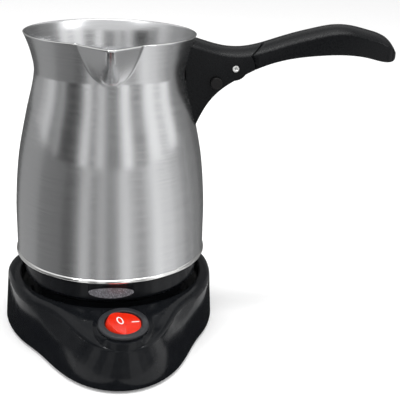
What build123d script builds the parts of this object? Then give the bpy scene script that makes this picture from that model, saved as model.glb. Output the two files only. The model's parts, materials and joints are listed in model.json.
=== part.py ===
from build123d import *
import os
from math import atan2, cos, radians, sin, tan

os.makedirs("parts", exist_ok=True)

# Electric turkish coffee maker: a steel pot with a folding handle that stands in a power base.
# Millimetres, +Z up. The origin is on the pot's axis at table level. +X runs along the handle,
# and -Y is the front, with the pouring spout and, a little to the right of it, the switch.

# ---- clearances
seat_gap = 0.2          # pot's skirt above the floor of the well
move_gap = 0.3          # between parts that move past each other
run_gap = 0.06          # radial, pin in its bore
fit_gap = 0.15          # between fixed parts that drop into each other

# ---- base housing, a shell with one long and two short lobes round the well
base_turn = 5.1         # the base stands turned this far to the right of the pot's front
foot_proud = 1.5        # rubber feet below the housing's edge
base_rise = 26.7        # housing's edge to the lip of the well
base_wall = 2.2
base_flare = 0.5        # draft: the edge is this much wider than the outline
waist_r = 50.7          # outline between the lobes
nose_r = 73.4           # outline at the switch lobe
side_lobe_r = 55.6
foot_power = 2.8        # how narrow the lobes are at the foot
top_power = 5.5         # and at the top of the wall
waist_drop = 4.7        # lip to the top of the upright wall, between the lobes
lobe_drop = 8.5         # and on the lobes
waist_fall = 0.4        # how far the top falls towards the wall, between the lobes
nose_fall = 3.8         # and on the nose
shoulder_power = 2.6    # exponent of the shoulder's section, 2 is an ellipse
shoulder_turns = (0, 4, 14, 30, 48, 66, 80, 87, 90)
well_r = 45.0
well_depth = 11.2
well_wall = 2.0
lip_width = 1.7         # flat ring round the well
lip_round = 1.0

# ---- bottom cover, feet and screws
cover_thick = 2.0
foot_r = 6.0
foot_sunk = 0.8
foot_inset = 11.5       # foot centre inside the outline of its lobe
cover_screw_r = 1.5
cover_screw_head_r = 2.9
cover_screw_head = 1.2
cover_screw_grip = 7.0  # thread above the cover
cover_screw_at = 41.0   # distance from the axis
cover_screw_angles = (-150.0, -30.0, 54.0, 126.0)
screw_boss_r = 3.4

# ---- round rocker switch in the nose
switch_inset = 13.3     # centre inside the nose's outline
switch_sink = 1.5       # centre of its seat below the lip
switch_tilt = 8.2       # the seat leans to the front
boss_r = 13.3
boss_deep = 6.0
boss_core = 0.8         # solid round the boss inside the shell
panel_thick = 2.2
bezel_r = 11.5
bezel_high = 1.8
switch_body_r = 9.9
switch_body_deep = 12.0
aperture_r = 8.35
aperture_deep = 7.0
rocker_r = 8.2          # ball round the pivot that the rocker stays inside
trunnion_r = 1.0        # stubs that the rocker turns on
trunnion_long = 0.9
rocker_pivot = 1.0      # pivot below the seat
rocker_angle = 10.0     # each way from level
rocker_centre = 1.0     # valley of the level rocker above the seat
rocker_deep = 4.0       # below the pivot
lamp_r = 1.5
lamp_long = 9.0
blade_wide = 4.8
blade_thick = 0.8
blade_long = 7.0
blade_pitch = 6.0
sleeve_wall = 0.6
sleeve_long = 6.0

# ---- cordless connector, lower half
tower_r = 12.5
tower_top = 9.0         # above the floor of the well
pin_bore_r = 2.8
groove_in_r = 6.0
groove_out_r = 8.4
bore_deep = 9.0
contact_wall = 0.4
tab_long = 6.0

# ---- cord gland and terminal block
gland_bore_r = 3.3
gland_wall = 1.5
gland_flange = 1.6      # flange beyond the body, and its thickness
gland_z = 9.5
gland_inner = 10.5      # body inside the wall
block_long = 22.0
block_wide = 9.0
block_high = 9.0
block_inset = 21.7      # its centre inside the waist's outline
block_pitch = 7.0
lead_r = 0.9

# ---- pot
sheet = 0.6
skirt_rise = 24.1       # skirt's bottom to the bead
foot_r_pot = 45.6       # wall at the bead
bead_wire = 1.25        # radius of the rolled edge
belly_rise = 25.9       # bead to the start of the taper
belly_r = 45.4
chest_rise = 22.1
chest_r = 43.4
shoulder_rise = 20.1
shoulder_r = 39.4
neck_rise = 19.7
neck_r = 35.0
mouth_rise = 9.1
mouth_r = 36.05
rim_rise = 9.9
rim_r = 39.5
spout_reach = 50.5      # tip of the spout from the axis, at the rim
spout_half = 13.2       # half width where the spout leaves the rim
spout_drop = 17.6       # rim to the foot of the spout
spout_power = 0.38      # how fast it widens above its foot
spout_round = 2.5
floor_lift = 2.3        # floor of the pot above the bead
floor_thick = 1.0
floor_flange = 2.6

# ---- heater under the pot's floor
plate_r = 38.0
plate_thick = 2.0
element_at = 26.0
element_r = 3.0
element_gap = 28.0      # degrees left open between its ends
element_pin_r = 1.3
element_pin_drop = 7.0
thermostat_r = 7.0
thermostat_high = 6.0
thermostat_at = 13.0
stat_pitch = 3.5
fuse_r = 1.7
fuse_long = 11.0
fuse_at = (12.0, 3.0)
clip_wall = 0.5
clip_wide = 4.0

# ---- skirt and its plate
skirt_r = 43.2
skirt_wall = 2.0
skirt_band = 11.7       # upright band below the skirt's top
skirt_bend = 2.0
plug_r = 39.5           # lower part, inside the well
plug_bend = 2.0
seal_high = 1.0
seal_wide = 3.0
badge_long = 21.0
badge_high = 5.2
badge_thick = 0.5
badge_drop = 6.8        # its centre below the bead
post_r = 2.6
post_at = 33.0
post_angles = (30.0, 150.0, 270.0)
skirt_screw_r = 1.4
skirt_screw_head_r = 2.7
skirt_screw_head = 1.2
skirt_screw_grip = 7.0

# ---- cordless connector, upper half
cup_r = 15.0
cup_wall = 1.5
cup_top = 2.0
cup_flange = 4.0
cup_flange_thick = 2.0
pin_r = 2.2
ring_r = 7.5
ring_wall = 0.7
contact_reach = 7.5     # below the cup's top
pot_tab_long = 4.0
pot_tab_at = 9.0

# ---- handle
handle_half = 8.6       # half width
crown = 4.3             # top line above the side edge
pin_x = 58.3            # hinge pin from the pot's axis
pin_above_neck = 3.8
hinge_pin_r = 1.5
hinge_pin_hollow = 0.6
hinge_pin_hollow_deep = 2.0
pin_proud = 0.25
knuckle_r = 9.1         # round end of the bracket, about the pin
seam_top = 41.0         # where the seam leaves the round end
tongue_half = 3.0
tongue_r = 6.9
tongue_root = 2.4       # tongue carried into the grip
fold_angle = 95.0
tip_round = 7.0
lock_x = -9.1           # lock button from the hinge pin
lock_z = -6.8
button_r = 2.8
button_proud = 2.2
button_travel = 1.8
collar_r = 3.6
collar_thick = 0.9
lock_shaft_r = 2.6
spring_r = 1.9
spring_wire = 0.4
spring_turns = 3
spring_nub_r = 1.2
tab_thick = 2.0
tab_plate = 1.2
tab_plate_half = 6.0
tab_low = 1.2           # tongue's lower edge above the neck
tab_reach = 48.6
tab_screw_places = ((-18.3, 1.8), (-12.0, 0.6))
tab_screw_r = 1.6
tab_screw_head_r = 2.9
tab_screw_head = 1.4

# the handle's top and bottom lines, as (along, up) from the hinge pin
top_line = ((-24.0, 14.1), (-17.4, 12.6), (-11.6, 10.9), (-0.1, 9.1), (11.3, 10.7), (22.6, 14.3),
            (39.7, 18.9), (51.2, 20.5), (63.2, 18.4), (72.5, 15.2), (77.5, 10.0), (78.3, 7.7))
bottom_line = ((78.3, 7.7), (77.2, 5.2), (72.6, 4.2), (63.6, 5.9), (53.6, 7.1), (38.7, 6.6), (24.8, 4.7),
               (10.8, 0.3), (-0.4, -5.7), (-6.0, -9.5), (-11.4, -14.9), (-18.0, -26.8), (-22.0, -36.0))

# ---- levels that follow from the sizes
edge_z = foot_proud
cover_top = edge_z + cover_thick
lip_z = edge_z + base_rise
switch_at = nose_r - switch_inset        # from the axis
block_at = waist_r - block_inset
well_floor = lip_z - well_depth
well_under = well_floor - well_wall
tower_z = well_floor + tower_top
skirt_z = well_floor + seat_gap
bead_z = skirt_z + skirt_rise
floor_z = bead_z + floor_lift            # underside of the pot's floor
plate_z = floor_z - plate_thick
belly_z = bead_z + belly_rise
chest_z = belly_z + chest_rise
shoulder_z = chest_z + shoulder_rise
neck_z = shoulder_z + neck_rise
mouth_z = neck_z + mouth_rise
rim_z = mouth_z + rim_rise
skirt_top = floor_z - seal_high
cup_floor = skirt_z + skirt_wall         # inner floor of the skirt, where the upper connector sits
cup_under = tower_z + 0.6                # underside of the upper connector's top
pin_z = neck_z + pin_above_neck
slot_half = tongue_half + move_gap
ring_points = 36                         # of the housing's outline
crown_steps = 12                         # along the handle's top


# ---------------------------------------------------------------- helpers
def polar(r, angle, z=0.0):
    return Vector(r * cos(radians(angle)), r * sin(radians(angle)), z)


def rod(r, z0, z1, x=0.0, y=0.0):
    return Pos(x, y, (z0 + z1) / 2) * Cylinder(r, z1 - z0)


def pipe(r_out, r_in, z0, z1, x=0.0, y=0.0):
    return rod(r_out, z0, z1, x, y) - rod(r_in, z0 - 1, z1 + 1, x, y)


def block(x0, x1, y0, y1, z0, z1):
    return Pos((x0 + x1) / 2, (y0 + y1) / 2, (z0 + z1) / 2) * Box(x1 - x0, y1 - y0, z1 - z0)


def cross_rod(r, y0, y1, x, z):
    """A rod along Y, as every pin and screw of the handle lies."""
    return Pos(x, (y0 + y1) / 2, z) * Rot(90, 0, 0) * Cylinder(r, y1 - y0)


def lead(points):
    """An insulated lead along straight runs joined by wide tangent arcs."""
    points = [Vector(*p) for p in points]
    if len(points) == 2:
        path = Line(*points)
    else:
        radii = []
        for a, b, c in zip(points, points[1:], points[2:]):
            turn = radians((b - a).get_angle(c - b))
            radii.append(0.45 * min((b - a).length, (c - b).length) / tan(turn / 2))
        path = FilletPolyline(*points, radius=radii)
    return sweep(Plane(path @ 0, z_dir=path % 0) * Circle(lead_r), path=path)


def group(shapes):
    return Compound([solid for shape in shapes for solid in shape.solids()])


# ---------------------------------------------------------------- base
def outline_r(angle, power):
    """Outline radius of the housing at one angle, front lobe at -90. A higher power makes the lobes
    narrower."""
    r = waist_r
    for centre, lobe_r in ((-90, nose_r), (30, side_lobe_r), (150, side_lobe_r)):
        off = abs((angle - centre + 180) % 360 - 180)
        if off < 60:
            r += cos(radians(1.5 * off)) ** power * (lobe_r - waist_r)
    return r


def wall_top(angle):
    """Level where the wall ends and the rounded shoulder starts."""
    off = 60 - abs((angle - 30) % 120 - 60)
    on_lobe = cos(radians(1.5 * off)) ** top_power
    return lip_z - waist_drop - (lobe_drop - waist_drop) * on_lobe


def wall_r(angle, z):
    """Radius of the wall, which leans out towards its foot."""
    top = outline_r(angle, top_power)
    foot = outline_r(angle, foot_power) + base_flare
    lower = (wall_top(angle) - z) / (wall_top(angle) - edge_z)
    return top + (foot - top) * lower


def closed_ring(points):
    steps = [k / ring_points for k in range(ring_points + 1)]
    return Wire([Edge.make_spline(points, periodic=True, parameters=steps)])


def ring_angles():
    return [360 * k / ring_points for k in range(ring_points)]


def level_ring(z, inset):
    return closed_ring([polar(wall_r(angle, z) - inset, angle, z) for angle in ring_angles()])


def shoulder_ring(turn, inset):
    """A ring of the rounded shoulder, from the wall's top at 0 degrees to the lip at 90."""
    out = max(cos(radians(turn)), 0.0) ** (2 / shoulder_power)
    up = sin(radians(turn)) ** (2 / shoulder_power)
    lip_r = well_r + lip_width
    points = []
    for angle in ring_angles():
        wide = outline_r(angle, top_power)
        on_nose = (wide - waist_r) / (nose_r - waist_r)
        fall = waist_fall + (nose_fall - waist_fall) * on_nose
        low = wall_top(angle)
        r = lip_r + out * (wide - inset - lip_r)
        points.append(polar(r, angle, low + up * (lip_z - fall * out - inset - low)))
    return closed_ring(points)


def dome(inset=0.0):
    """The housing's outer form, or with an inset the hollow inside it."""
    foot = level_ring(edge_z, inset)
    rings = [shoulder_ring(turn, inset) for turn in shoulder_turns]
    wall = Solid.make_loft([foot, rings[0]], True)
    shoulder = Solid.make_loft(rings, False)
    skin = [face for form in (wall, shoulder) for face in form.faces() if face.geom_type != GeomType.PLANE]
    return Solid(Shell(skin + [Face(foot), Face(rings[-1])]))


def switch_frame():
    """Seat of the switch: local X runs from O to I, and Z stands out of the seat."""
    tilt = radians(switch_tilt)
    origin = (0, -switch_at, lip_z - switch_sink)
    return Location(Plane(origin, x_dir=(1, 0, 0), z_dir=(0, -sin(tilt), cos(tilt))))


def gland_frame():
    """Cord gland at the back, with local Z pointing out of the housing."""
    return Location(Plane((0, 0, gland_z), x_dir=(1, 0, 0), z_dir=(0, 1, 0)))


def base_housing():
    seat = switch_frame()
    skin = dome() + seat * rod(boss_r, -boss_deep, 0)
    hollow = dome(base_wall) - rod(well_r + well_wall, well_under, lip_z)
    hollow -= seat * rod(boss_r + boss_core, -boss_deep, 0)
    relief = seat * rod(boss_r - base_wall, -2 * boss_deep, -panel_thick)
    shell = skin - hollow - (relief - rod(well_r + well_wall, well_under, lip_z + 1))
    shell -= rod(well_r, well_floor, lip_z + 1)
    shell -= rod(tower_r + fit_gap, well_under - 1, well_floor + 1)
    shell -= seat * (rod(switch_body_r + fit_gap, -boss_deep, 1) + rod(boss_r, 0, boss_deep))
    for angle in cover_screw_angles:
        x, y, _ = polar(cover_screw_at, angle)
        shell += rod(screw_boss_r, cover_top, well_under + 0.2, x, y)
        shell -= rod(cover_screw_r, cover_top - 1, cover_top + cover_screw_grip, x, y)
    shell -= gland_frame() * rod(gland_bore_r + gland_wall + fit_gap, well_r, nose_r)
    lip_edges = [e for e in shell.edges().filter_by(GeomType.CIRCLE)
                 if abs(e.radius - well_r) < 0.01 and abs(e.center().Z - lip_z) < 0.01]
    return fillet(lip_edges, lip_round)


def foot_places():
    return [polar(nose_r - foot_inset, -90), polar(side_lobe_r - foot_inset, 30),
            polar(side_lobe_r - foot_inset, 150)]


def base_cover():
    inset = base_wall + fit_gap
    plate = Solid.make_loft([level_ring(edge_z, inset), level_ring(cover_top, inset)], True)
    for angle in cover_screw_angles:
        x, y, _ = polar(cover_screw_at, angle)
        plate -= rod(cover_screw_r + fit_gap, 0, cover_top + 1, x, y)
        plate -= rod(cover_screw_head_r + fit_gap, 0, edge_z + cover_screw_head, x, y)
    for place in foot_places():
        plate -= rod(foot_r, 0, edge_z + foot_sunk, place.X, place.Y)
    return plate


def rubber_feet():
    feet = []
    for place in foot_places():
        foot = rod(foot_r, 0, edge_z + foot_sunk, place.X, place.Y)
        feet.append(fillet(foot.edges().sort_by(Axis.Z)[0], 0.6))
    return group(feet)


def cover_screws():
    screws = []
    for angle in cover_screw_angles:
        x, y, _ = polar(cover_screw_at, angle)
        screw = rod(cover_screw_head_r, edge_z, edge_z + cover_screw_head, x, y)
        screw += rod(cover_screw_r, edge_z, cover_top + cover_screw_grip - 1, x, y)
        for turn in (0, 90):
            slot = Rot(0, 0, turn) * Box(cover_screw_head_r, 0.6, 1.2)
            screw -= Pos(x, y, edge_z) * slot
        screws.append(screw)
    return group(screws)


def socket_tower():
    tower = rod(tower_r, cover_top, tower_z)
    tower -= rod(pin_bore_r, tower_z - bore_deep, tower_z + 1)
    tower -= pipe(groove_out_r, groove_in_r, tower_z - bore_deep, tower_z + 1)
    top = tower.faces().sort_by(Axis.Z)[-1].outer_wire().edges()
    tower = chamfer(top, 0.8)
    for spot in tab_spots():
        tower -= spot
    return tower


def tab_spots():
    """Radial tabs of the lower connector: live to the left, neutral to the right, earth behind."""
    z0 = cover_top + 2.0
    z1 = z0 + blade_thick
    reach = tower_r + tab_long
    half = blade_wide / 2
    start = tower_r - 3.0
    return [block(-reach, -start, -half, half, z0, z1), block(start, reach, -half, half, z0, z1),
            block(-half, half, start, reach, z0, z1)]


def socket_contacts():
    low = tower_z - bore_deep
    inner = pipe(pin_bore_r, pin_bore_r - contact_wall, low, tower_z - 2)
    ring = pipe(groove_out_r, groove_out_r - contact_wall, low, tower_z - 2)
    return group([inner, ring] + tab_spots())


def cord_gland():
    body_r = gland_bore_r + gland_wall
    frame = gland_frame()
    outside = waist_r + base_flare + gland_flange
    outer = frame * rod(body_r + gland_flange, waist_r - 4, outside) - dome()
    inside = waist_r - base_wall
    inner = frame * rod(body_r + 0.5, inside - gland_flange - 1, inside + 2)
    inner = inner & dome(base_wall)
    body = frame * rod(body_r, inside - gland_inner, outside)
    return outer + inner + body - frame * rod(gland_bore_r, 0, outside + 1)


def terminal_block():
    body = block(-block_long / 2, block_long / 2, block_at - block_wide / 2,
                 block_at + block_wide / 2, cover_top, cover_top + block_high)
    for x in (-block_pitch, 0, block_pitch):
        body -= rod(2.0, cover_top + block_high - 4, cover_top + block_high + 1, x, block_at)
        body -= cross_rod(1.6, block_at, block_at + block_wide, x, cover_top + 3.4)
    return body


def block_screws():
    top = cover_top + block_high
    return group([rod(1.85, top - 4, top - 1, x, block_at) - Pos(x, block_at, top - 1) * Box(3, 0.5, 1)
                  for x in (-block_pitch, 0, block_pitch)])


def sleeve_face():
    """Centre height of the switch sleeves and the plane of their inner faces, in the seat's frame."""
    return -switch_body_deep - sleeve_long / 2 - 0.5, blade_wide / 2 + sleeve_wall


def switch_body():
    body = rod(switch_body_r, -switch_body_deep, 0)
    flange = rod(bezel_r, 0, bezel_high)
    flange = chamfer(flange.edges().sort_by(Axis.Z)[-1], 0.7)
    body += flange
    body -= rod(aperture_r, -aperture_deep, bezel_high + 1)
    lip = [e for e in body.edges().filter_by(GeomType.CIRCLE)
           if abs(e.radius - aperture_r) < 0.01 and e.center().Z > bezel_high - 0.1]
    body = fillet(lip, 0.5)
    body -= Pos(0, 0, -aperture_deep) * Box(2 * lamp_r + 0.4, lamp_long + 0.4, 2 * lamp_r + 0.4)
    body -= trunnions(run_gap)
    for x in (-blade_pitch, 0, blade_pitch):
        body -= switch_blade(x)
    return switch_frame() * body


def trunnions(extra=0.0):
    """The rocker's two stubs along Y, or with extra their sockets in the body."""
    reach = rocker_r + trunnion_long / 2 + extra
    return Pos(0, 0, -rocker_pivot) * Rot(90, 0, 0) * Cylinder(trunnion_r + extra, 2 * reach)


def switch_blade(x):
    half = blade_wide / 2
    return block(x - blade_thick / 2, x + blade_thick / 2, -half, half,
                 -switch_body_deep - blade_long, -switch_body_deep + 1.5)


def switch_terminals():
    return group([switch_frame() * switch_blade(x) for x in (-blade_pitch, 0, blade_pitch)])


def switch_sleeves():
    middle, _ = sleeve_face()
    sleeves = []
    for x in (-blade_pitch, 0, blade_pitch):
        outer = Box(blade_thick + 2 * sleeve_wall, blade_wide + 2 * sleeve_wall, sleeve_long)
        sleeves.append(switch_frame() * (Pos(x, 0, middle) * outer - switch_blade(x)))
    return group(sleeves)


def switch_lamp():
    bulb = Rot(90, 0, 0) * Cylinder(lamp_r, lamp_long)
    return switch_frame() * Pos(0, 0, -aperture_deep - 0.2) * bulb


def rocker_level():
    """The rocker with neither side pressed: a valley top on a ball-shaped body."""
    pivot = Pos(0, 0, -rocker_pivot)
    ball = pivot * Sphere(rocker_r)
    body = ball & rod(rocker_r, -rocker_pivot - rocker_deep, 2 * rocker_r)
    for side in (1, -1):
        above = Pos(side * rocker_r, 0, rocker_r) * Box(2 * rocker_r, 3 * rocker_r, 2 * rocker_r)
        tilted = Pos(0, 0, rocker_centre) * Rot(0, -side * rocker_angle, 0) * above
        body -= tilted
    return body + trunnions()


def switch_rocker():
    """At rest the side marked I, at local +X, is pressed in."""
    swing = Pos(0, 0, -rocker_pivot) * Rot(0, rocker_angle, 0) * Pos(0, 0, rocker_pivot)
    return switch_frame() * swing * rocker_level()


def base_leads():
    """Leads from the terminal block to the switch and the connector, in the base's own frame."""
    middle, face = sleeve_face()
    ends = [(switch_frame() * Pos(x, face + 0.2, middle)).position
            for x in (-blade_pitch, 0, blade_pitch)]
    front = block_at - block_wide / 2
    reach = tower_r + tab_long
    tab_z = cover_top + 2.0 + blade_thick / 2
    low = cover_top + 2.6
    high = cover_top + 7.0
    left, mid, right = ends
    joined = [terminal_block(), switch_sleeves()] + tab_spots()
    leads = {
        "lead_live_in": lead([(-block_pitch, front, high), (-12, 19, high), (-25, 12, high),
                              (-27, -14, high), (-18, -40, 8.0), (left.X, left.Y + 5, left.Z), left]),
        "lead_live_out": lead([mid, (mid.X, mid.Y + 6, mid.Z), (-9, -36, mid.Z), (-21, -20, tab_z),
                               (-25, -6, tab_z), (-reach - 2.6, 0.4, tab_z), (-reach, 0, tab_z)]),
        "lead_neutral": lead([(block_pitch, front, low), (12, 19, low), (24, 12, tab_z),
                              (26, 4, tab_z), (reach + 3, 0.4, tab_z), (reach, 0, tab_z)]),
        "lead_lamp": lead([(block_pitch, front, high), (14, 18, high), (28, 10, high),
                           (28, -16, high), (18, -42, 8.0), (right.X, right.Y + 5, right.Z), right]),
        "lead_earth": lead([(0, front, tab_z), (0, reach, tab_z)]),
    }
    return {name: run - joined for name, run in leads.items()}


# ---------------------------------------------------------------- pot
def wall_stations(inset):
    """The pot's profile as (radius, height) pairs, from the bead up to the rim."""
    stations = ((foot_r_pot, bead_z), (foot_r_pot, bead_z + 9), (belly_r, belly_z), (chest_r, chest_z),
                (shoulder_r, shoulder_z), (neck_r, neck_z), (mouth_r, mouth_z), (rim_r, rim_z))
    return [(r - inset, z) for r, z in stations]


def wall_solid(inset=0.0, top=0.0):
    """The pot as a solid of revolution, or with an inset the room inside its wall. top carries the
    room on past the rim."""
    stations = wall_stations(inset)
    (r0, z0), (r1, z1) = stations[0], stations[-1]
    line = Spline(*[(r, 0, z) for r, z in stations], tangents=((0, 0, 1), (0.45, 0, 1)))
    edges = [Line((0, 0, z0), (r0, 0, z0)), line]
    if top:
        edges += [Line((r1, 0, z1), (r1 + 0.45 * top, 0, z1 + top)),
                  Line((r1 + 0.45 * top, 0, z1 + top), (0, 0, z1 + top))]
    else:
        edges.append(Line((r1, 0, z1), (0, 0, z1)))
    edges.append(Line((0, 0, z1 + top), (0, 0, z0)))
    return revolve(make_face(edges), Axis.Z)


def spout_section(rise, inset):
    """A rounded V section of the spout. rise is 0 at its foot and 1 at the rim."""
    z = rim_z - spout_drop * (1 - rise)
    up = max(rise, 0.0)
    wall = neck_r + (rim_r - neck_r) * up ** 2
    half = spout_half * up ** spout_power + 0.3
    keel = neck_r + (spout_reach - neck_r) * rise
    slope = atan2(half, max(keel - (wall ** 2 - half ** 2) ** 0.5, 0.02))
    tip = -keel - spout_round * (1 / sin(slope) - 1) + inset / sin(slope)
    near = (spout_round - inset) / tan(slope)
    far = 1.25 * half / sin(slope) + 1
    near_x, near_y = near * sin(slope), tip + near * cos(slope)
    far_x, far_y = far * sin(slope), tip + far * cos(slope)
    nose = Edge.make_three_point_arc((-near_x, near_y, z), (0, inset - keel, z), (near_x, near_y, z))
    return Wire([nose, Edge.make_line((near_x, near_y, z), (far_x, far_y, z)),
                 Edge.make_line((far_x, far_y, z), (-far_x, far_y, z)),
                 Edge.make_line((-far_x, far_y, z), (-near_x, near_y, z))])


def spout(inset=0.0, top=0.0):
    steps = [-0.06, 0.02, 0.1, 0.25, 0.45, 0.7, 1.0]
    if top:
        steps.append(1.0 + top / spout_drop)
    return Solid.make_loft([spout_section(step, inset) for step in steps], False)


def pot_body():
    shell = wall_solid() + spout()
    shell -= wall_solid(sheet, 2.0) + spout(sheet, 2.0)
    bead = Pos(0, 0, bead_z) * Torus(foot_r_pot, bead_wire)
    return shell + (bead - rod(foot_r_pot - sheet, bead_z - 3, bead_z + 3))


def pot_floor():
    r = foot_r_pot - sheet
    dish = rod(r + 1, floor_z, floor_z + floor_flange) & wall_solid(sheet)
    dish -= rod(r - floor_thick, floor_z + floor_thick, floor_z + floor_flange + 1)
    inner = [e for e in dish.edges().filter_by(GeomType.CIRCLE)
             if abs(e.radius - r + floor_thick) < 0.01 and abs(e.center().Z - floor_z - floor_thick) < 0.01]
    return fillet(inner, 0.8)


def heat_plate():
    return rod(plate_r, plate_z, floor_z)


def element_z():
    return plate_z - element_r


def heating_element():
    half = element_gap / 2
    z = element_z()
    arc = CenterArc((0, 0, z), element_at, 90 + half, 360 - element_gap)
    tube = sweep(Plane(arc @ 0, z_dir=arc % 0) * Circle(element_r), path=arc)
    for side in (1, -1):
        place = polar(element_at, 90 + side * (half + 4))
        tube += rod(element_pin_r, z - element_r - element_pin_drop, z, place.X, place.Y)
    return tube


def element_pin_end(side):
    place = polar(element_at, 90 + side * (element_gap / 2 + 4))
    return place.X, place.Y, element_z() - element_r - element_pin_drop


def stat_blade(x):
    z0 = plate_z - thermostat_high
    return block(x - blade_thick / 2, x + blade_thick / 2, -thermostat_at - blade_wide / 2,
                 -thermostat_at + blade_wide / 2, z0 - pot_tab_long, z0 + 1.5)


def thermostat():
    can = rod(thermostat_r, plate_z - thermostat_high, plate_z, 0, -thermostat_at)
    can -= pipe(thermostat_r + 1, thermostat_r - 0.8, plate_z - thermostat_high - 1,
                plate_z - thermostat_high / 2, 0, -thermostat_at)
    for x in (-stat_pitch, stat_pitch):
        can -= stat_blade(x)
    return can


def thermostat_blades():
    return group([stat_blade(-stat_pitch), stat_blade(stat_pitch)])


def fuse_z():
    return plate_z - fuse_r - clip_wall


def thermal_fuse():
    x, y = fuse_at
    fuse = cross_rod(fuse_r, y - fuse_long / 2, y + fuse_long / 2, x, fuse_z())
    return fillet(fuse.edges().filter_by(GeomType.CIRCLE), 0.4)


def fuse_clip():
    x, y = fuse_at
    half = clip_wide / 2
    band = cross_rod(fuse_r + clip_wall, y - half, y + half, x, fuse_z())
    ears = block(x - fuse_r - 4, x + fuse_r + 4, y - half, y + half, plate_z - clip_wall, plate_z)
    return band + ears - cross_rod(fuse_r, y - half - 1, y + half + 1, x, fuse_z())


def seal_ring():
    return pipe(skirt_r, skirt_r - seal_wide, skirt_top, floor_z)


def post_spots():
    return [polar(post_at, angle) for angle in post_angles]


def floor_posts():
    posts = []
    for spot in post_spots():
        post = rod(post_r, cup_floor, plate_z, spot.X, spot.Y)
        posts.append(post - rod(skirt_screw_r, cup_floor - 1, cup_floor + skirt_screw_grip, spot.X, spot.Y))
    return group(posts)


def skirt_form(inset):
    """The skirt's outer form, or its inside when inset by the wall."""
    r, plug = skirt_r - inset, plug_r - inset
    band_z = skirt_top - skirt_band
    cone = skirt_r - plug_r
    low = skirt_z + inset
    points = [(0, 0, low), (plug, 0, low), (plug, 0, band_z - cone), (r, 0, band_z), (r, 0, skirt_top),
              (0, 0, skirt_top)]
    form = revolve(make_face(Polyline(*points, close=True)), Axis.Z)
    bends = [e for e in form.edges().filter_by(GeomType.CIRCLE) if abs(e.center().Z - band_z) < 0.01]
    form = fillet(bends, skirt_bend)
    foot = [e for e in form.edges().filter_by(GeomType.CIRCLE) if abs(e.center().Z - low) < 0.01]
    return fillet(foot, plug_bend - inset / 2)


def pot_skirt():
    inside = skirt_form(skirt_wall) + rod(skirt_r - seal_wide, skirt_top - 3, skirt_top + 1)
    skirt = skirt_form(0) - inside
    skirt -= rod(cup_r - cup_wall, skirt_z - 1, cup_floor + 1)
    for spot in post_spots():
        skirt -= rod(skirt_screw_r + fit_gap, skirt_z - 1, cup_floor + 1, spot.X, spot.Y)
        skirt -= rod(skirt_screw_head_r + fit_gap, skirt_z - 1, skirt_z + skirt_screw_head, spot.X, spot.Y)
    return skirt - badge_blank(fit_gap / 3)


def badge_blank(extra=0.0):
    """Oval sunk into the front of the skirt, standing half its thickness proud."""
    z = bead_z - badge_drop
    oval = Plane.XZ.offset(0) * Ellipse(badge_long / 2 + extra, badge_high / 2 + extra)
    bar = Pos(0, 0, z) * extrude(oval, amount=2 * skirt_r)
    ring = pipe(skirt_r + badge_thick / 2, skirt_r - badge_thick / 2 - extra, z - badge_high, z + badge_high)
    return bar & ring


def skirt_screws():
    screws = []
    for spot in post_spots():
        screw = rod(skirt_screw_head_r, skirt_z, skirt_z + skirt_screw_head, spot.X, spot.Y)
        screw += rod(skirt_screw_r, skirt_z, cup_floor + skirt_screw_grip - 1, spot.X, spot.Y)
        screws.append(screw - Pos(spot.X, spot.Y, skirt_z) * Box(skirt_screw_head_r, 0.6, 1.2))
    return group(screws)


def pot_tab(k):
    """Tab k of the upper connector: live, neutral and earth."""
    spot = polar(pot_tab_at, (200, -20, 90)[k])
    half = blade_wide / 2
    top = cup_under + cup_top
    return block(spot.X - blade_thick / 2, spot.X + blade_thick / 2, spot.Y - half, spot.Y + half,
                 top - 1, top + pot_tab_long)


def plug_cup():
    cup = rod(cup_r, cup_floor, cup_under + cup_top)
    cup -= rod(cup_r - cup_wall, cup_floor - 1, cup_under)
    cup += pipe(cup_r + cup_flange, cup_r - cup_wall, cup_floor, cup_floor + cup_flange_thick)
    cup -= rod(pin_r, cup_under - 1, cup_under + 1)
    cup -= pipe(ring_r, ring_r - ring_wall, cup_under - 1, cup_under + 1)
    for k in range(3):
        cup -= pot_tab(k)
    return cup


def plug_contacts():
    low = cup_under - contact_reach
    pin = rod(pin_r, low, cup_under + 1)
    pin = chamfer(pin.edges().sort_by(Axis.Z)[0], 0.6)
    ring = pipe(ring_r, ring_r - ring_wall, low, cup_under + 1)
    return group([pin, ring] + [pot_tab(k) for k in range(3)])


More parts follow.
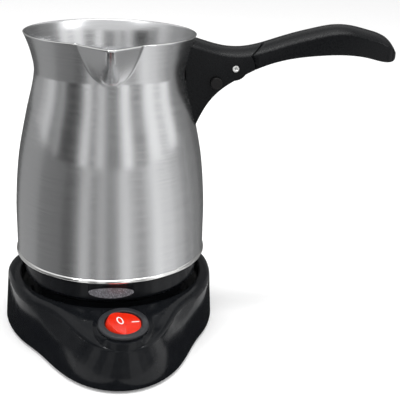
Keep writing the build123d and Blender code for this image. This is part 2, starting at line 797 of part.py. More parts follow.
def pot_leads():
    """Leads from the connector through thermostat and fuse to the element, and back."""
    tab_top = cup_under + cup_top + pot_tab_long
    live, neutral, earth = [polar(pot_tab_at, angle) for angle in (200, -20, 90)]
    stat_low = plate_z - thermostat_high - pot_tab_long
    fuse_x, fuse_y = fuse_at
    near, far = fuse_y - fuse_long / 2, fuse_y + fuse_long / 2
    pin_a, pin_b = element_pin_end(-1), element_pin_end(1)
    low = tab_top - 1.4
    joined = [pot_tab(k) for k in range(3)] + [stat_blade(-stat_pitch), stat_blade(stat_pitch),
                                               heating_element(), thermal_fuse()]
    leads = {
        "lead_thermostat": lead([(live.X - 0.4, live.Y - 1, low), (-13, -9, low),
                                 (-10, -15, stat_low + 1.5), (-stat_pitch - 0.4, -15, stat_low + 1.5)]),
        "lead_fuse": lead([(stat_pitch + 0.4, -13, stat_low + 1.5), (9, -13, stat_low + 2),
                           (fuse_x, near - 6, fuse_z() - 3), (fuse_x, near - 3, fuse_z()),
                           (fuse_x, near, fuse_z())]),
        "lead_element": lead([(fuse_x, far, fuse_z()), (fuse_x, far + 4, fuse_z()),
                              (fuse_x - 2, far + 9, fuse_z() - 4), (pin_a[0], pin_a[1] - 5, pin_a[2] + 1),
                              (pin_a[0], pin_a[1] - element_pin_r, pin_a[2] + 1)]),
        "lead_return": lead([(neutral.X + 0.4, neutral.Y, low), (17, -1, low), (17, 8, low + 1),
                             (4, 19, low + 1), (pin_b[0] + 3, pin_b[1] - 5, pin_b[2] + 1),
                             (pin_b[0], pin_b[1] - element_pin_r, pin_b[2] + 1)]),
        "lead_plate_earth": lead([(earth.X - 0.4, earth.Y, low), (-6, 9, low), (-13, 9, low + 4),
                                  (-14, 8, plate_z - 4), (-14, 8, plate_z)]),
    }
    return {name: run - joined for name, run in leads.items()}


# ---------------------------------------------------------------- handle
def top_curve():
    return Spline(*[(pin_x + x, 0, pin_z + z) for x, z in top_line])


def side_face():
    """The handle's side view, from inside the pot's wall to the tip."""
    top = top_curve()
    bottom = Spline(*[(pin_x + x, 0, pin_z + z) for x, z in bottom_line])
    return make_face([top, bottom, Line(bottom @ 1, top @ 0)])


def crown_section(x, z):
    """Cross section under the crowned top, where the top line is at x and z."""
    edge_up = z - crown
    deep = pin_z - 60
    arc = Edge.make_three_point_arc((x, -handle_half, edge_up), (x, 0, z), (x, handle_half, edge_up))
    corners = [(x, handle_half, edge_up), (x, handle_half, deep), (x, -handle_half, deep),
               (x, -handle_half, edge_up)]
    return Wire([arc] + [Edge.make_line(a, b) for a, b in zip(corners, corners[1:])])


def handle_blank():
    slab = extrude(side_face(), amount=handle_half, both=True)
    line = top_curve()
    places = [line @ (k / crown_steps) for k in range(crown_steps + 1)]
    places.append(places[-1] * 2 - places[-2])
    under_crown = Solid.make_loft([crown_section(place.X, place.Z) for place in places], False)
    reach = pin_x + top_line[-1][0]
    plan = block(0, reach, -handle_half, handle_half, pin_z - 50, pin_z + 30)
    corners = plan.edges().filter_by(Axis.Z).group_by(Axis.X)[-1]
    return (slab & under_crown) & fillet(corners, tip_round)


def wedge(low, high, r, half):
    """A sector about the hinge pin between two angles, of half width half along Y."""
    steps = max(2, int((high - low) / 30) + 1)
    far = 1.3 * r
    rim = [(pin_x + far * cos(radians(low + (high - low) * k / steps)), 0,
            pin_z + far * sin(radians(low + (high - low) * k / steps))) for k in range(steps + 1)]
    fan = make_face(Polyline((pin_x, 0, pin_z), *rim, close=True))
    return extrude(fan, amount=half, both=True)


def hinge_disc(r, half):
    return cross_rod(r, -half, half, pin_x, pin_z)


def lock_rod(r, y0, y1):
    return cross_rod(r, y0, y1, pin_x + lock_x, pin_z + lock_z)


def handle_bracket():
    beyond = wedge(-70, seam_top, 90, handle_half + 1) - hinge_disc(knuckle_r, handle_half + 2)
    bracket = handle_blank() - beyond - tab_form(0.05) - wall_solid()
    slot = hinge_disc(tongue_r + move_gap, slot_half)
    sweep_r = knuckle_r + 2 * move_gap
    slot += wedge(-fold_angle - 20, seam_top, sweep_r, slot_half) & hinge_disc(sweep_r, slot_half)
    bracket -= slot
    bracket -= lock_rod(collar_r + move_gap, -slot_half, slot_half)
    bracket -= lock_rod(button_r + run_gap, -handle_half - 1, 0)
    bracket -= lock_rod(button_r + run_gap, 0, spring_floor())
    bracket -= hinge_disc(hinge_pin_r, handle_half + 1)
    for x, z in tab_screw_places:
        bracket -= cross_rod(tab_screw_r, 0, handle_half + 1, pin_x + x, pin_z + z)
        bracket -= cross_rod(tab_screw_head_r + fit_gap, handle_half - tab_screw_head, handle_half + 1,
                             pin_x + x, pin_z + z)
    return bracket


def spring_floor():
    """Bottom of the blind hole that holds the lock spring."""
    return slot_half + 4.2


def tab_form(extra=0.0):
    """Steel tab welded to the pot: a curved plate on the wall with a tongue along X, not yet cut
    to the wall."""
    low, high = neck_z - 15.0, neck_z + 9.0
    plate = block(0, neck_r + 10, -tab_plate_half - extra, tab_plate_half + extra, low - extra, high + extra)
    plate = plate & wall_solid(-tab_plate - extra)
    tongue = block(neck_r - 4, tab_reach + extra, -tab_thick / 2 - extra, tab_thick / 2 + extra,
                   neck_z + tab_low - extra, high + extra)
    return plate + tongue


def handle_tab():
    tab = tab_form() - wall_solid()
    for x, z in tab_screw_places:
        tab -= cross_rod(tab_screw_r, -handle_half, handle_half, pin_x + x, pin_z + z)
    return tab


def tab_screws():
    screws = []
    for x, z in tab_screw_places:
        screw = cross_rod(tab_screw_head_r, handle_half - tab_screw_head, handle_half - 0.2,
                          pin_x + x, pin_z + z)
        screw += cross_rod(tab_screw_r, -tab_thick / 2, handle_half - 0.5, pin_x + x, pin_z + z)
        for turn in (0, 90):
            slot = Rot(0, turn, 0) * Box(tab_screw_head_r, 1.2, 0.6)
            screw -= Pos(pin_x + x, handle_half - 0.2, pin_z + z) * slot
        screws.append(screw)
    return group(screws)


def hinge_pin():
    pin = hinge_disc(hinge_pin_r, handle_half + pin_proud)
    for side in (1, -1):
        end = side * (handle_half + pin_proud)
        inner = end - side * hinge_pin_hollow_deep
        pin -= cross_rod(hinge_pin_hollow, min(end, inner), max(end, inner), pin_x, pin_z)
    return pin


def handle_grip():
    seam = knuckle_r + move_gap
    body = handle_blank() & wedge(-70, seam_top - 1.8, 90, handle_half + 1)
    body -= hinge_disc(seam, handle_half + 1)
    tongue = wedge(-4, seam_top - 3, seam + tongue_root, tongue_half)
    tongue = tongue & hinge_disc(seam + tongue_root, tongue_half)
    tongue = tongue & extrude(side_face(), amount=tongue_half, both=True)
    grip = body + tongue + hinge_disc(tongue_r, tongue_half)
    return grip - hinge_disc(hinge_pin_r + run_gap, handle_half + 1)


def lock_button():
    face = -handle_half - button_proud
    button = lock_rod(button_r, face, -slot_half + 0.1)
    button = fillet(button.edges().filter_by(GeomType.CIRCLE).sort_by(Axis.Y)[0], 0.5)
    button += lock_rod(collar_r, -slot_half + 0.1, -slot_half + 0.1 + collar_thick)
    button += lock_rod(lock_shaft_r, -slot_half, spring_start())
    return button + lock_rod(spring_nub_r, 0, spring_start() + 1.0)


def spring_start():
    return slot_half - 0.3


def lock_spring():
    """Stands on the button and stops its travel short of the blind hole's floor."""
    high = spring_floor() - button_travel - spring_start() - 0.2
    pitch = (high - spring_wire) / spring_turns
    line = Helix(pitch, high - spring_wire, spring_r - spring_wire / 2)
    coil = sweep(Plane(line @ 0, z_dir=line % 0) * Circle(spring_wire / 2), path=line, is_frenet=True)
    stand = Pos(pin_x + lock_x, spring_start() + spring_wire / 2, pin_z + lock_z) * Rot(-90, 0, 0)
    return stand * coil


# ---------------------------------------------------------------- all nodes
base_nodes = {
    "base_housing": base_housing(), "base_cover": base_cover(), "rubber_feet": rubber_feet(),
    "cover_screws": cover_screws(), "socket_tower": socket_tower(), "socket_contacts": socket_contacts(),
    "cord_gland": cord_gland(), "terminal_block": terminal_block(), "block_screws": block_screws(),
    "switch_body": switch_body(), "switch_rocker": switch_rocker(), "switch_lamp": switch_lamp(),
    "switch_terminals": switch_terminals(), "switch_sleeves": switch_sleeves(), **base_leads(),
}
pot_nodes = {
    "pot_body": pot_body(), "pot_floor": pot_floor(), "heat_plate": heat_plate(),
    "heating_element": heating_element(), "thermostat": thermostat(),
    "thermostat_blades": thermostat_blades(), "thermal_fuse": thermal_fuse(), "fuse_clip": fuse_clip(),
    "seal_ring": seal_ring(), "floor_posts": floor_posts(), "pot_skirt": pot_skirt(),
    "badge_plate": badge_blank(), "skirt_screws": skirt_screws(), "plug_cup": plug_cup(),
    "plug_contacts": plug_contacts(), **pot_leads(),
    "handle_bracket": handle_bracket(), "handle_tab": handle_tab(), "tab_screws": tab_screws(),
    "hinge_pin": hinge_pin(), "handle_grip": handle_grip(), "lock_button": lock_button(),
    "lock_spring": lock_spring(),
}
for name, shape in base_nodes.items():
    export_step(Rot(0, 0, base_turn) * shape, f"parts/{name}.step")
for name, shape in pot_nodes.items():
    export_step(shape, f"parts/{name}.step")
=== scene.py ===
import json
from math import atan2, cos, pi, radians, sin

import bmesh
import bpy
from mathutils import Matrix, Vector
from mathutils.geometry import interpolate_bezier


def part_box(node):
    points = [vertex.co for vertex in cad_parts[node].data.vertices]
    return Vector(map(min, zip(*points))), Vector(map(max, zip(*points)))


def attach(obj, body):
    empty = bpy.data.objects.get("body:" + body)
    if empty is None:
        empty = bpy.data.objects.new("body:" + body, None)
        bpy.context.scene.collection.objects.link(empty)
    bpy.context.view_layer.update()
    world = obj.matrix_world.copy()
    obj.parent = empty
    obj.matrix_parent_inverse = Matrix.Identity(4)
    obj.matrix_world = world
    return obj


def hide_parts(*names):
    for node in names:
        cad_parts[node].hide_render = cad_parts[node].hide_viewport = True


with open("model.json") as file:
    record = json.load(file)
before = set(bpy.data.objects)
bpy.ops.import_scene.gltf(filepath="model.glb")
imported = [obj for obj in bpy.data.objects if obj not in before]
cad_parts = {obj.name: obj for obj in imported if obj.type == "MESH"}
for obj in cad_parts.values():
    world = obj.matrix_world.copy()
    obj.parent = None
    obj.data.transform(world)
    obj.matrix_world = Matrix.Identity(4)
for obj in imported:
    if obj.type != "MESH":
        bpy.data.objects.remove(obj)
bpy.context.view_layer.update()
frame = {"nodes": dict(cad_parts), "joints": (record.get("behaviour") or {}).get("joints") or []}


# ---- Power base: one glossy black moulding with a long lobe for the switch and two short ones. The
# mould is polished, so the surface is smooth with only a faint waviness, and it is shaded smooth up
# to its real edges.
def new_piece(name, mesh, body, *nodes):
    """Puts a finished bmesh into the scene as a piece that rides on a body and replaces nodes."""
    bmesh.ops.recalc_face_normals(mesh, faces=mesh.faces)
    data = bpy.data.meshes.new(name)
    mesh.to_mesh(data)
    mesh.free()
    data.shade_smooth()
    piece = bpy.data.objects.new(name, data)
    bpy.context.scene.collection.objects.link(piece)
    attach(piece, body)
    if nodes:
        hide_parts(*nodes)
    return piece


def moulding(node, body, material, crease=32):
    """A merged, smooth copy of a CAD node that takes its place."""
    mesh = bmesh.new()
    mesh.from_mesh(frame["nodes"][node].data)
    bmesh.ops.remove_doubles(mesh, verts=mesh.verts, dist=1e-6)
    bmesh.ops.dissolve_degenerate(mesh, dist=1e-7, edges=mesh.edges)
    piece = new_piece(node + "_finished", mesh, body, node)
    piece.data.set_sharp_from_angle(angle=radians(crease))
    piece.data.materials.append(material)
    weigh = piece.modifiers.new("weigh", "WEIGHTED_NORMAL")
    weigh.keep_sharp = True
    return piece


def new_material(name, color, roughness, metallic=0.0, **settings):
    """A Principled material with its plain values set. settings are further sockets by name."""
    material = bpy.data.materials.new(name)
    material.use_nodes = True
    shader = material.node_tree.nodes["Principled BSDF"]
    shader.inputs["Base Color"].default_value = (*color, 1)
    shader.inputs["Roughness"].default_value = roughness
    shader.inputs["Metallic"].default_value = metallic
    for socket, value in settings.items():
        shader.inputs[socket.replace("_", " ")].default_value = value
    return material, shader


def noise_on(material, stretch, detail=4.0):
    """A noise texture on Object coordinates, stretched per metre along each axis."""
    nodes, links = material.node_tree.nodes, material.node_tree.links
    place = nodes.new("ShaderNodeTexCoord")
    turn = nodes.new("ShaderNodeMapping")
    turn.inputs["Scale"].default_value = stretch
    noise = nodes.new("ShaderNodeTexNoise")
    noise.inputs["Scale"].default_value = 1.0
    noise.inputs["Detail"].default_value = detail
    links.new(place.outputs["Object"], turn.inputs["Vector"])
    links.new(turn.outputs["Vector"], noise.inputs["Vector"])
    return noise


def spread(material, value, low, high, target, start=0.3, stop=0.7):
    """Feeds a value between start and stop into a socket as low to high."""
    remap = material.node_tree.nodes.new("ShaderNodeMapRange")
    remap.inputs["From Min"].default_value = start
    remap.inputs["From Max"].default_value = stop
    remap.inputs["To Min"].default_value = low
    remap.inputs["To Max"].default_value = high
    material.node_tree.links.new(value, remap.inputs["Value"])
    material.node_tree.links.new(remap.outputs["Result"], target)


def tint(material, value, color_low, color_high, shader, start=0.3, stop=0.7):
    """Shifts the base colour between two shades with a value."""
    mix = material.node_tree.nodes.new("ShaderNodeMix")
    mix.data_type = "RGBA"
    mix.inputs["A"].default_value = (*color_low, 1)
    mix.inputs["B"].default_value = (*color_high, 1)
    spread(material, value, 0.0, 1.0, mix.inputs["Factor"], start, stop)
    material.node_tree.links.new(mix.outputs["Result"], shader.inputs["Base Color"])


def lift(material, value, shader, strength, depth):
    """Raises the surface's normals by a value, depth metres high."""
    bump = material.node_tree.nodes.new("ShaderNodeBump")
    bump.inputs["Strength"].default_value = strength
    bump.inputs["Distance"].default_value = depth
    material.node_tree.links.new(value, bump.inputs["Height"])
    material.node_tree.links.new(bump.outputs["Normal"], shader.inputs["Normal"])


def plastic(name, color, color_high, rough, rough_high, size, bump, **settings):
    """Moulded plastic whose grain is about size metres across."""
    material, shader = new_material(name, color, rough, **settings)
    noise = noise_on(material, (1 / size,) * 3)
    tint(material, noise.outputs["Fac"], color, color_high, shader)
    spread(material, noise.outputs["Fac"], rough, rough_high, shader.inputs["Roughness"])
    lift(material, noise.outputs["Fac"], shader, bump, size / 20)
    return material


def dress(material, *names):
    """Gives CAD nodes that keep their own shape a finish."""
    for name in names:
        for slot in frame["nodes"][name].material_slots:
            slot.material = material


gloss_black = plastic("gloss_black", (0.0060, 0.0067, 0.0082), (0.0085, 0.0094, 0.0110), 0.12, 0.17,
                      0.004, 0.04, Specular_IOR_Level=0.17)
moulding("base_housing", "base", gloss_black)

cover_black = plastic("cover_black", (0.018, 0.018, 0.019), (0.026, 0.026, 0.027), 0.5, 0.62,
                      0.0006, 0.25)
moulding("base_cover", "base", cover_black)
gland_black = plastic("gland_black", (0.015, 0.015, 0.015), (0.022, 0.022, 0.022), 0.42, 0.55,
                      0.0009, 0.2)
moulding("cord_gland", "base", gland_black)
foot_rubber = plastic("foot_rubber", (0.026, 0.026, 0.026), (0.038, 0.037, 0.036), 0.75, 0.9,
                      0.0007, 0.4)
moulding("rubber_feet", "base", foot_rubber)


# ---- Screws, pins and clips: turned or stamped from steel wire and sheet and zinc plated, with
# fine turning marks round them.
turning_marks = (900, 900, 5000)
turning_depth = 0.00002


def plated(name, color, rough, rough_high):
    """Bare metal with fine turning marks across its length."""
    material, shader = new_material(name, color, rough, 1.0)
    noise = noise_on(material, turning_marks, 3)
    spread(material, noise.outputs["Fac"], rough, rough_high, shader.inputs["Roughness"])
    lift(material, noise.outputs["Fac"], shader, 0.15, turning_depth)
    return material


zinc = plated("zinc_plated", (0.58, 0.59, 0.60), 0.22, 0.38)
dress(zinc, "block_screws")
for part, home in (("cover_screws", "base"), ("skirt_screws", "pot"), ("tab_screws", "pot")):
    moulding(part, home, zinc)
pin_steel = plated("pin_steel", (0.80, 0.80, 0.79), 0.16, 0.28)
moulding("hinge_pin", "pot", pin_steel)
moulding("lock_spring", "lock", pin_steel)
dress(pin_steel, "floor_posts", "fuse_clip")


# ---- Cordless connector and terminals: dark moulded sockets with brass contacts, and the block in
# the base that the cord's wires are screwed into.
socket_black = plastic("socket_black", (0.024, 0.024, 0.024), (0.034, 0.034, 0.033), 0.38, 0.5,
                       0.0009, 0.15)
moulding("socket_tower", "base", socket_black)
moulding("plug_cup", "pot", socket_black)
dress(socket_black, "terminal_block")
brass = plated("contact_brass", (0.78, 0.57, 0.25), 0.2, 0.34)
dress(brass, "socket_contacts", "plug_contacts", "switch_terminals", "switch_sleeves",
      "thermostat_blades")


# ---- Leads: stranded copper in coloured insulation, brown for live, blue for neutral and striped
# green for earth.
for name, color, names in (
        ("lead_brown", (0.22, 0.09, 0.04), ("lead_live_in", "lead_live_out", "lead_lamp",
                                            "lead_thermostat", "lead_fuse", "lead_element")),
        ("lead_blue", (0.04, 0.11, 0.45), ("lead_neutral", "lead_return")),
        ("lead_green", (0.16, 0.42, 0.08), ("lead_earth", "lead_plate_earth"))):
    pale = tuple(1.25 * part for part in color)
    dress(plastic(name, color, pale, 0.4, 0.52, 0.0012, 0.1), *names)


# ---- Heater: an aluminium plate under the pot's floor with a sheathed element clamped to it, and
# its ceramic thermostat and thermal fuse. All of it is closed in by the skirt.
aluminium = plated("heat_plate_aluminium", (0.75, 0.75, 0.75), 0.35, 0.5)
dress(aluminium, "heat_plate")
element_sheath = plated("element_sheath", (0.36, 0.33, 0.30), 0.4, 0.6)
dress(element_sheath, "heating_element")
ceramic = plastic("ceramic", (0.66, 0.63, 0.56), (0.74, 0.71, 0.65), 0.6, 0.75, 0.0008, 0.2)
dress(ceramic, "thermostat", "thermal_fuse")
silicone = plastic("silicone", (0.30, 0.30, 0.29), (0.36, 0.36, 0.35), 0.5, 0.6, 0.0010, 0.1)
dress(silicone, "seal_ring")


# ---- Steel pot: one sheet of stainless steel, spun to a narrow neck and a flared mouth, brushed
# round its axis. The spout is pressed out of the front of the rim. The sheet's cut edge at the rim
# is polished.
pot_low, pot_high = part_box("pot_body")
rim_z = pot_high.z
bead_wire = 0.00125
bead_z = pot_low.z + bead_wire
sheet = 0.0006
foot_r, belly_r, chest_r, shoulder_r, neck_r, mouth_r, rim_r = (
    0.0456, 0.0454, 0.0434, 0.0394, 0.0350, 0.03605, 0.0395)
# outer radius and height above the bead, from the foot to the rim
pot_profile = ((foot_r, 0.0), (foot_r, 0.009), (belly_r, 0.0259), (chest_r, 0.0480),
               (shoulder_r, 0.0681), (neck_r, 0.0878), (mouth_r, 0.0969), (rim_r, 0.1068))
profile_steps = 14
upright = (0, 0, 1)
rim_lean = (0.45, 0, 1)
spout_reach = 0.0505
spout_half = 0.0132
spout_drop = 0.0176
# how quickly the spout widens above its root, its half width there and its least half angle
spout_widening = 0.38
root_half = 0.0003
least_share = radians(5)
keel_rounding = 0.03
spout_columns = 14
pot_columns = 240


def smooth_profile(stations, steps, first, last):
    """Points on a smooth curve through stations of radius and height."""
    knots = [Vector((r, 0, z)) for r, z in stations]
    slopes = [Vector(first)] + [b - a for a, b in zip(knots, knots[2:])] + [Vector(last)]
    points = [knots[0]]
    for a, b, run_a, run_b in zip(knots, knots[1:], slopes, slopes[1:]):
        reach = (b - a).length / 3
        leave, arrive = a + run_a.normalized() * reach, b - run_b.normalized() * reach
        span = interpolate_bezier(a, leave, arrive, b, steps)
        points += span[1:]
    return [(p.x, p.z) for p in points]


def spout_angle(height):
    """Half angle that the spout takes up round the pot's axis, its keel's reach, its half width and
    the distance from the axis to where its sides start."""
    rise = (height - (rim_z - spout_drop)) / spout_drop
    up = min(max(rise, 0.0), 1.0)
    wall = neck_r + (rim_r - neck_r) * up ** 2
    half = spout_half * up ** spout_widening + root_half
    root = (wall ** 2 - half ** 2) ** 0.5
    keel = neck_r + (spout_reach - neck_r) * rise
    return max(atan2(half, root), least_share), keel, half, root


def spout_radius(turn, keel, half, root):
    """Distance from the axis to the side of the V at an angle off the keel."""
    soft = (sin(turn) ** 2 + keel_rounding ** 2) ** 0.5 - keel_rounding
    return keel / (cos(turn) + soft * (keel - root) / half)


def steel_pot():
    """The pot's outer face, one ring of points for each step of its profile."""
    mesh = bmesh.new()
    made = bmesh.ops.create_circle(mesh, segments=pot_columns, radius=1.0)
    ring = sorted(made["verts"], key=lambda v: atan2(v.co.y, v.co.x) % (2 * pi))
    edges = list({e for v in ring for e in v.link_edges})
    rows = smooth_profile(pot_profile, profile_steps, upright, rim_lean)
    quarter = pot_columns * 3 // 4
    for row, (radius, height) in enumerate(rows):
        z = bead_z + height
        if row:
            grown = bmesh.ops.extrude_edge_only(mesh, edges=edges)["geom"]
            step = {v: None for v in grown if isinstance(v, bmesh.types.BMVert)}
            ring = [next(e.other_vert(v) for e in v.link_edges if e.other_vert(v) in step)
                    for v in ring]
            edges = [e for e in grown if isinstance(e, bmesh.types.BMEdge)
                     and e.verts[0] in step and e.verts[1] in step]
        share, keel, half, root = spout_angle(z)
        for column, vert in enumerate(ring):
            off = (column - quarter + pot_columns // 2) % pot_columns - pot_columns // 2
            if abs(off) <= spout_columns:
                turn = share * off / spout_columns
            else:
                side = 1 if off > 0 else -1
                rest = (abs(off) - spout_columns) / (pot_columns // 2 - spout_columns)
                turn = side * (share + (pi - share) * rest)
            reach = radius
            if abs(off) < spout_columns and z > rim_z - spout_drop:
                reach = max(radius, spout_radius(abs(turn), keel, half, root))
            angle = turn - pi / 2
            vert.co = (reach * cos(angle), reach * sin(angle), z)
    return mesh


brush_lines = (45, 45, 4200)
brush_depth = 0.00003


def brushed_steel(name, color, color_high, rough, rough_high):
    """Steel brushed round the pot's axis in fine lines."""
    material, shader = new_material(name, color, rough, 1.0, Anisotropic=0.75)
    nodes, links = material.node_tree.nodes, material.node_tree.links
    tangent = nodes.new("ShaderNodeTangent")
    tangent.direction_type = "RADIAL"
    tangent.axis = "Z"
    links.new(tangent.outputs["Tangent"], shader.inputs["Tangent"])
    lines = noise_on(material, brush_lines, 3)
    spread(material, lines.outputs["Fac"], rough, rough_high, shader.inputs["Roughness"])
    lift(material, lines.outputs["Fac"], shader, 0.08, brush_depth)
    tint(material, lines.outputs["Fac"], color, color_high, shader, 0.25, 0.75)
    return material


pot_steel = brushed_steel("brushed_steel", (0.53, 0.535, 0.545), (0.60, 0.605, 0.61), 0.17, 0.24)
polished_steel = plated("polished_steel", (0.80, 0.80, 0.79), 0.10, 0.18)

pot = new_piece("pot_shell", steel_pot(), "pot", "pot_body")
pot.data.materials.append(pot_steel)
pot.data.materials.append(polished_steel)
thick = pot.modifiers.new("sheet", "SOLIDIFY")
thick.thickness = sheet
thick.offset = -1
thick.use_even_offset = True
thick.material_offset_rim = 1

moulding("pot_floor", "pot", pot_steel)
moulding("handle_tab", "pot", pot_steel)


# ---- Rolled bead: the pot's lower edge, turned out over a wire and polished. It covers the joint
# between the steel and the black skirt.
bead_columns = 192
wire_sides = 20


def rolled_ring(radius, height, wire):
    """A round wire bent into a ring about the pot's axis."""
    mesh = bmesh.new()
    made = bmesh.ops.create_circle(mesh, segments=wire_sides, radius=wire)
    stand = Matrix.Translation((radius, 0, height)) @ Matrix.Rotation(pi / 2, 4, "X")
    bmesh.ops.transform(mesh, matrix=stand, verts=made["verts"])
    bmesh.ops.spin(mesh, geom=mesh.verts[:] + mesh.edges[:], cent=(0, 0, 0), axis=(0, 0, 1),
                   angle=2 * pi, steps=bead_columns, use_merge=True)
    return mesh


bead = new_piece("pot_bead", rolled_ring(foot_r, bead_z, bead_wire), "pot")
bead.data.materials.append(polished_steel)


# ---- Skirt: a glossy black moulding that closes in the heater, with a bare oval plate let into its
# front. The plate is grey lacquer with fine pale speckles under a clear coat.
moulding("pot_skirt", "pot", gloss_black, 40)


speckles_per_metre = 1900


def speckled_lacquer():
    """Grey lacquer whose pale speckles are the middles of small cells."""
    material, shader = new_material("speckled_lacquer", (0.14, 0.14, 0.155), 0.32,
                                    Coat_Weight=0.4, Coat_Roughness=0.15)
    nodes, links = material.node_tree.nodes, material.node_tree.links
    place = nodes.new("ShaderNodeTexCoord")
    cells = nodes.new("ShaderNodeTexVoronoi")
    cells.inputs["Scale"].default_value = speckles_per_metre
    cells.inputs["Randomness"].default_value = 1.0
    links.new(place.outputs["Object"], cells.inputs["Vector"])
    tint(material, cells.outputs["Distance"], (0.50, 0.50, 0.54), (0.135, 0.135, 0.15), shader,
         0.22, 0.42)
    spread(material, cells.outputs["Distance"], 0.45, 0.28, shader.inputs["Roughness"])
    return material


moulding("badge_plate", "pot", speckled_lacquer(), 40)


# ---- Handle: a bracket screwed to the pot's tab, a grip hinged to it on a steel pin, and the round
# button of its lock. All three are black plastic with a satin face.
satin_black = plastic("satin_black", (0.0026, 0.0030, 0.0038), (0.0042, 0.0047, 0.0056),
                      0.24, 0.33, 0.0011, 0.06, Specular_IOR_Level=0.13)
moulding("handle_bracket", "pot", satin_black)
moulding("handle_grip", "grip", satin_black)
button_black = plastic("button_black", (0.0050, 0.0045, 0.0048), (0.0075, 0.0068, 0.0070),
                       0.34, 0.44, 0.0010, 0.08, Specular_IOR_Level=0.2)
moulding("lock_button", "lock", button_black)


# ---- Switch: a round snap-in body with a broad satin bezel, and a translucent red rocker that its
# lamp lights from below; that glow is painted on the rocker as a red emission. The marks O and I
# are printed white on the rocker's two slopes, with a painted glow of their own.
bezel_black = plastic("bezel_black", (0.021, 0.022, 0.025), (0.030, 0.031, 0.035), 0.34, 0.44,
                      0.0009, 0.1, Specular_IOR_Level=0.3)
moulding("switch_body", "base", bezel_black)
# The rocker's own red, plus a painted glow: its emission stands in for the lamp's light coming
# through it.
rocker_red = plastic("rocker_red", (0.62, 0.014, 0.004), (0.72, 0.022, 0.007), 0.16, 0.24,
                     0.0025, 0.04, Specular_IOR_Level=0.2, Coat_Weight=0.15, Coat_Roughness=0.06,
                     Subsurface_Weight=0.25, Subsurface_Radius=(0.004, 0.0008, 0.0004),
                     Subsurface_Scale=0.5,
                     Emission_Color=(1.0, 0.06, 0.012, 1), Emission_Strength=0.12)
moulding("switch_rocker", "rocker", rocker_red, 14)
lamp_glass, _ = new_material("lamp_glass", (0.95, 0.62, 0.35), 0.08, Transmission_Weight=0.7,
                             Emission_Color=(1.0, 0.35, 0.1, 1), Emission_Strength=0.4)
dress(lamp_glass, "switch_lamp")

rocker_hinge = next(joint for joint in frame["joints"] if joint["name"] == "switch_rock")
across_rocker = -Vector(rocker_hinge["axis"]).normalized()
towards_i = across_rocker.cross(Vector((0, 0, 1))).normalized()
out_of_seat = towards_i.cross(across_rocker)
rocker_seat = Matrix.Translation(rocker_hinge["pos_m"]) @ Matrix(
    (towards_i, across_rocker, out_of_seat)).transposed().to_4x4()
valley_height = 0.002
slope = radians(10)
mark_stroke = 0.00068
mark_thick = 0.00005
# The marks' own white print, plus a painted glow given as a pale emission.
mark_white_painted_glow = plastic("mark_white_painted_glow", (0.86, 0.82, 0.80), (0.92, 0.89, 0.87), 0.4, 0.5,
                     0.0008, 0.05,
                     Emission_Color=(1.0, 0.85, 0.8, 1), Emission_Strength=0.12)


def put_mark(name, mesh, side, along, behind, lean=0.0):
    """Thickens a flat mark and lays it on one slope of the rocker, along metres from the valley,
    behind metres from its middle and turned by lean degrees."""
    bmesh.ops.recalc_face_normals(mesh, faces=mesh.faces)
    bmesh.ops.solidify(mesh, geom=mesh.faces[:], thickness=mark_thick)
    valley = (rocker_seat @ Matrix.Rotation(slope, 4, "Y")
              @ Matrix.Translation((0, 0, valley_height)))
    place = (valley @ Matrix.Rotation(-side * slope, 4, "Y")
             @ Matrix.Translation((side * along, behind, mark_thick))
             @ Matrix.Rotation(radians(lean), 4, "Z"))
    bmesh.ops.transform(mesh, matrix=place, verts=mesh.verts)
    mark = new_piece(name, mesh, "rocker")
    mark.data.materials.append(mark_white_painted_glow)


def oval_mark(half_long, half_wide):
    """The outline of an oval, as wide as the stroke."""
    mesh = bmesh.new()
    loops = []
    for inset in (0, mark_stroke):
        made = bmesh.ops.create_circle(mesh, segments=48, radius=1.0)
        bmesh.ops.scale(mesh, vec=(half_long - inset, half_wide - inset, 1), verts=made["verts"])
        loops += list({e for v in made["verts"] for e in v.link_edges})
    bmesh.ops.bridge_loops(mesh, edges=loops)
    return mesh


def bar_mark(length):
    """A straight bar as wide as the stroke."""
    mesh = bmesh.new()
    made = bmesh.ops.create_grid(mesh, x_segments=1, y_segments=1, size=0.5)
    bmesh.ops.scale(mesh, vec=(length, mark_stroke, 1), verts=made["verts"])
    return mesh


put_mark("mark_off", oval_mark(0.00172, 0.00255), -1, 0.0018, 0.0016, 8)
put_mark("mark_on", bar_mark(0.0034), 1, 0.0052, 0.0010)


# ---- Camera, lights, floor. The studio has a soft lamp and a narrow one overhead, and one to each
# side. Pale and dark cards stand round the object in two rows that lean outwards, on a dark table
# top. They are seen only in what it reflects.
view = bpy.data.objects.new("camera", bpy.data.cameras.new("camera"))
bpy.context.scene.collection.objects.link(view)
camera_place = (0, -0.384, 0.2074)
focal_length = 73.43
yaw, pitch, roll = 0.1159, 0.3546, 0.0377
ahead = Vector((sin(yaw), cos(yaw), 0))
right = Vector((cos(yaw), -sin(yaw), 0))
up = Vector((0, 0, 1))
look = ahead * cos(pitch) - up * sin(pitch)
top = up * cos(pitch) + ahead * sin(pitch)
across = right * cos(roll) + top * sin(roll)
high = top * cos(roll) - right * sin(roll)
facing = Matrix((across, high, -look)).transposed().to_4x4()
view.matrix_world = Matrix.Translation(camera_place) @ facing
view.data.lens = focal_length
view.data.clip_start = 0.01
bpy.context.scene.camera = view


lamp_aim = (0, 0, 0.07)


def lamp(name, bearing, distance, height, size, radiance):
    """A soft lamp at a bearing in degrees, 0 in front and 90 on the handle's side."""
    light = bpy.data.lights.new(name, "AREA")
    light.shape = "RECTANGLE"
    light.size, light.size_y = size
    light.energy = radiance * pi * size[0] * size[1]
    holder = bpy.data.objects.new(name, light)
    bpy.context.scene.collection.objects.link(holder)
    holder.visible_camera = False
    place = Vector((distance * sin(radians(bearing)), -distance * cos(radians(bearing)), height))
    turn = (Vector(lamp_aim) - place).to_track_quat("-Z", "Y")
    holder.matrix_world = Matrix.Translation(place) @ turn.to_matrix().to_4x4()


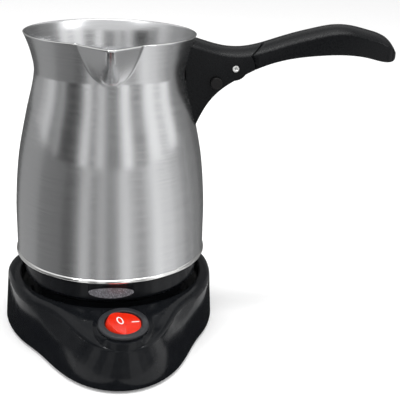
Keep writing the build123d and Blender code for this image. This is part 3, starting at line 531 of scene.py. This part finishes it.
lamp("overhead", 0, 0.1, 1.3, (0.9, 0.9), 1.8)
lamp("strip", 0, 0.12, 1.2, (1.1, 0.09), 11)
lamp("left_window", -48, 0.9, 0.95, (0.13, 0.13), 34)
lamp("right_window", 62, 0.9, 0.75, (0.10, 0.14), 30)


# edges of the cards, as their reach from the axis and their height
table_middle, table_edge = (0.0, 0.0006), (0.085, 0.001)
row_joint = (0.21, 0.102)
top_edge = (0.85, 0.62)
card_steps = 6
# each card's bearing and width in degrees, and its shade, where 1 is white
high_row = (
    (-152, 30, 0.3), (-121, 32, 0.45), (-99, 12, 0.65), (-87, 12, 0.95), (-74, 13, 0.3),
    (-66, 3, 1.0), (-50, 28, 0.05), (-30, 9, 1.3), (-21, 8, 0.1), (-12, 10, 1.1), (3, 20, 0.22),
    (19, 11, 1.7), (34, 19, 0.32), (52, 16, 1.5), (66, 12, 0.85), (79, 14, 1.45), (108, 44, 0.3),
    (148, 38, 0.2), (180, 28, 0.1))
low_row = (
    (-147, 44, 0.12), (-112, 26, 0.42), (-90, 18, 0.42), (-72, 18, 0.26), (-56, 14, 0.24),
    (-43, 12, 0.12), (-34, 6, 0.25), (-26, 10, 0.85), (-17, 8, 0.28), (-9, 8, 0.72),
    (-1, 8, 0.28), (6, 6, 0.45), (14, 9, 1.1), (22, 8, 0.68), (30, 8, 0.42), (38, 8, 0.8),
    (47, 10, 1.25), (60, 16, 1.0), (75, 14, 0.7), (89, 15, 0.4), (108, 22, 0.3), (144, 50, 0.15),
    (180, 22, 0.1))
table_shade = 0.02


def card(row, bearing, width, shade, near, far):
    """A card of the studio, from its near edge to its far one, that only reflections show."""
    mesh = bmesh.new()
    lowest, highest = [mesh.verts.new((0, -reach, height)) for reach, height in (near, far)]
    line = mesh.edges.new((lowest, highest))
    start = Matrix.Rotation(radians(bearing - width / 2), 4, "Z")
    bmesh.ops.transform(mesh, matrix=start, verts=mesh.verts)
    bmesh.ops.spin(mesh, geom=[lowest, highest, line], cent=(0, 0, 0), axis=(0, 0, 1),
                   angle=radians(width), steps=card_steps)
    name = "%s_card_%d" % (row, bearing)
    piece = new_piece(name, mesh, "base")
    paper, _ = new_material(name, (0, 0, 0), 1.0, Specular_IOR_Level=0.0,
                            Emission_Color=(1, 1, 1, 1), Emission_Strength=shade)
    piece.data.materials.append(paper)
    piece.visible_camera = False
    piece.visible_diffuse = False
    piece.visible_shadow = False
    piece.visible_transmission = False


for bearing, width, shade in high_row:
    card("high", bearing, width, shade, row_joint, top_edge)
for bearing, width, shade in low_row:
    card("low", bearing, width, shade, table_edge, row_joint)
card("table", 0, 360, table_shade, table_middle, table_edge)


def seen_rays(material):
    """1 for what the camera, a mirror or glass sees, and 0 for light on its way to a surface."""
    nodes, links = material.node_tree.nodes, material.node_tree.links
    path = nodes.new("ShaderNodeLightPath")
    total = path.outputs["Is Camera Ray"]
    for kind in ("Is Glossy Ray", "Is Transmission Ray"):
        larger = nodes.new("ShaderNodeMath")
        larger.operation = "MAXIMUM"
        links.new(total, larger.inputs[0])
        links.new(path.outputs[kind], larger.inputs[1])
        total = larger.outputs["Value"]
    return total


floor_glow = 0.16
floor_half = 8
floor_mesh = bmesh.new()
bmesh.ops.create_grid(floor_mesh, x_segments=1, y_segments=1, size=floor_half)
floor = new_piece("floor", floor_mesh, "base")
white, white_shader = new_material("white_paper", (0.92, 0.92, 0.92), 0.9, Specular_IOR_Level=0.1,
                                   Emission_Color=(1, 1, 1, 1))
spread(white, seen_rays(white), 0.0, floor_glow, white_shader.inputs["Emission Strength"], 0, 1)
floor.data.materials.append(white)

world_light = 0.75
world = bpy.data.worlds.new("studio")
bpy.context.scene.world = world
world.use_nodes = True
sky = world.node_tree.nodes["Background"]
sky.inputs["Color"].default_value = (1, 1, 1, 1)
spread(world, seen_rays(world), world_light, 1.0, sky.inputs["Strength"], 0, 1)

bpy.context.scene.view_settings.view_transform = "Standard"
